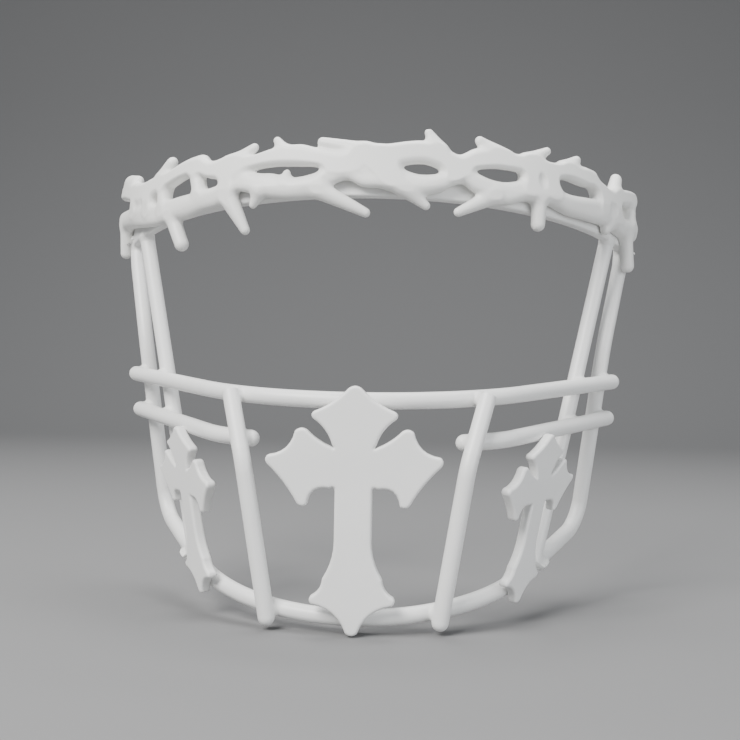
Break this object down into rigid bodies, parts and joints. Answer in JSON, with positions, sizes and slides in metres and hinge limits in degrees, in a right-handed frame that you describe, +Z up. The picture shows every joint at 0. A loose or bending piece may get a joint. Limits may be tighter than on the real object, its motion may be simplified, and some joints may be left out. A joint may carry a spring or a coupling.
{
  "type": "football helmet face guard",
  "caption": "Welded cage of round bar with a flat curved brow strip, a crown of thorn branches on it and flared crosses at the front and sides.",
  "frame": {"origin": "middle of the brow strip's rear face, where it bears on the front of the helmet", "axes": "+X to the right of the guard as seen from its front, along its greatest width; +Y backwards, towards the helmet; +Z up, towards the crown"},
  "size_m": [0.2211, 0.1008, 0.1794],
  "materials": {
    "coated_bar": "satin white powder coat on steel bar",
    "coated_plate": "satin white powder coat on steel plate",
    "coated_crown": "satin white powder coat on cast or welded branches",
    "coated_weld": "satin white powder coat over weld beads"
  },
  "bodies": {
    "root": {"brow_strip": "coated_plate", "thorn_branch_upper": "coated_crown", "thorn_branch_lower": "coated_crown", "twigs": "coated_crown", "thorns_upper": "coated_crown", "thorns_lower": "coated_crown", "upper_bar": "coated_bar", "lower_bar_left": "coated_bar", "lower_bar_right": "coated_bar", "centre_bar_left": "coated_bar", "centre_bar_right": "coated_bar", "front_side_bar_left": "coated_bar", "front_side_bar_right": "coated_bar", "jaw_bar": "coated_bar", "centre_cross": "coated_plate", "side_cross_left": "coated_plate", "side_cross_right": "coated_plate", "brow_welds": "coated_weld", "upper_bar_welds": "coated_weld", "lower_bar_welds": "coated_weld", "chin_welds": "coated_weld"}
  },
  "joints": []
}
